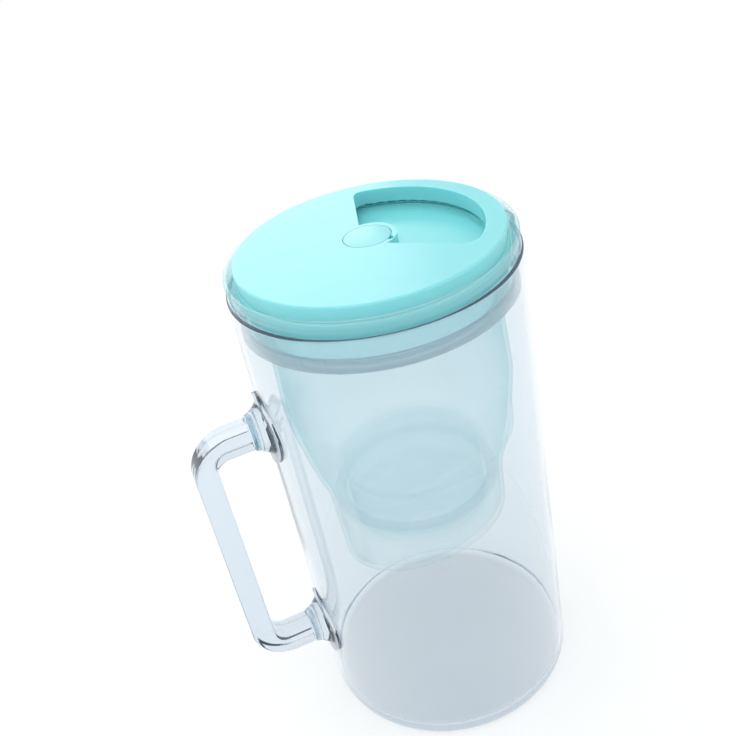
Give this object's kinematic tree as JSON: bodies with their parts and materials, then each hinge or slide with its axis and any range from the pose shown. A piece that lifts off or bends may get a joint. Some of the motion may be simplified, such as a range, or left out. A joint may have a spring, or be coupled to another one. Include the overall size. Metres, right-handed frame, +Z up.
{
  "type": "glass water filter pitcher",
  "caption": "Glass pitcher with a strap handle and beak, a drop-in filter reservoir with its cartridge, and a two-disc lid whose cover turns to open the filling hole.",
  "frame": {"origin": "centre of the jug's flat underside", "axes": "+Z up along the jug's axis, +X towards the pouring beak, -X towards the handle"},
  "size_m": [0.1586, 0.12, 0.2347],
  "materials": {
    "clear_glass": "polished",
    "aqua_clear": "translucent, glossy",
    "aqua_lid": "glossy",
    "aqua_seal": "translucent, satin",
    "white_plastic": "satin",
    "grey_gasket": "matte",
    "filter_pad": "felt",
    "filter_granules": "granular"
  },
  "bodies": {
    "jug": {"glass_jug": "clear_glass", "glass_handle": "clear_glass"},
    "insert": {"reservoir_insert": "aqua_clear"},
    "seal": {"seal_band": "aqua_seal"},
    "cartridge": {"cartridge_shell": "white_plastic", "cartridge_gasket": "grey_gasket", "cartridge_grille": "white_plastic", "cartridge_cap": "white_plastic", "lower_pad": "filter_pad", "filter_media": "filter_granules", "upper_pad": "filter_pad"},
    "lid": {"lid_base": "aqua_lid"},
    "pivot": {"pivot_cap": "aqua_lid"},
    "cover": {"lid_cover": "aqua_lid"}
  },
  "joints": [
    {"name": "insert_lift", "type": "slide", "parent": "jug", "child": "insert", "axis": [0, 0, 1], "range_m": [0, 0.16]},
    {"name": "seal_slide", "type": "slide", "parent": "insert", "child": "seal", "axis": [0, 0, -1], "range_m": [0, 0.016]},
    {"name": "cartridge_lift", "type": "slide", "parent": "insert", "child": "cartridge", "axis": [0, 0, 1], "range_m": [0, 0.07]},
    {"name": "lid_lift", "type": "slide", "parent": "insert", "child": "lid", "axis": [0, 0, 1], "range_m": [0, 0.03]},
    {"name": "cover_lift", "type": "slide", "parent": "lid", "child": "pivot", "axis": [0, 0, 1], "range_m": [0, 0.024]},
    {"name": "cover_turn", "type": "hinge", "parent": "pivot", "child": "cover", "pos_m": [0, 0, 0.2342], "axis": [0, 0, 1], "range_deg": [0, 180]}
  ]
}
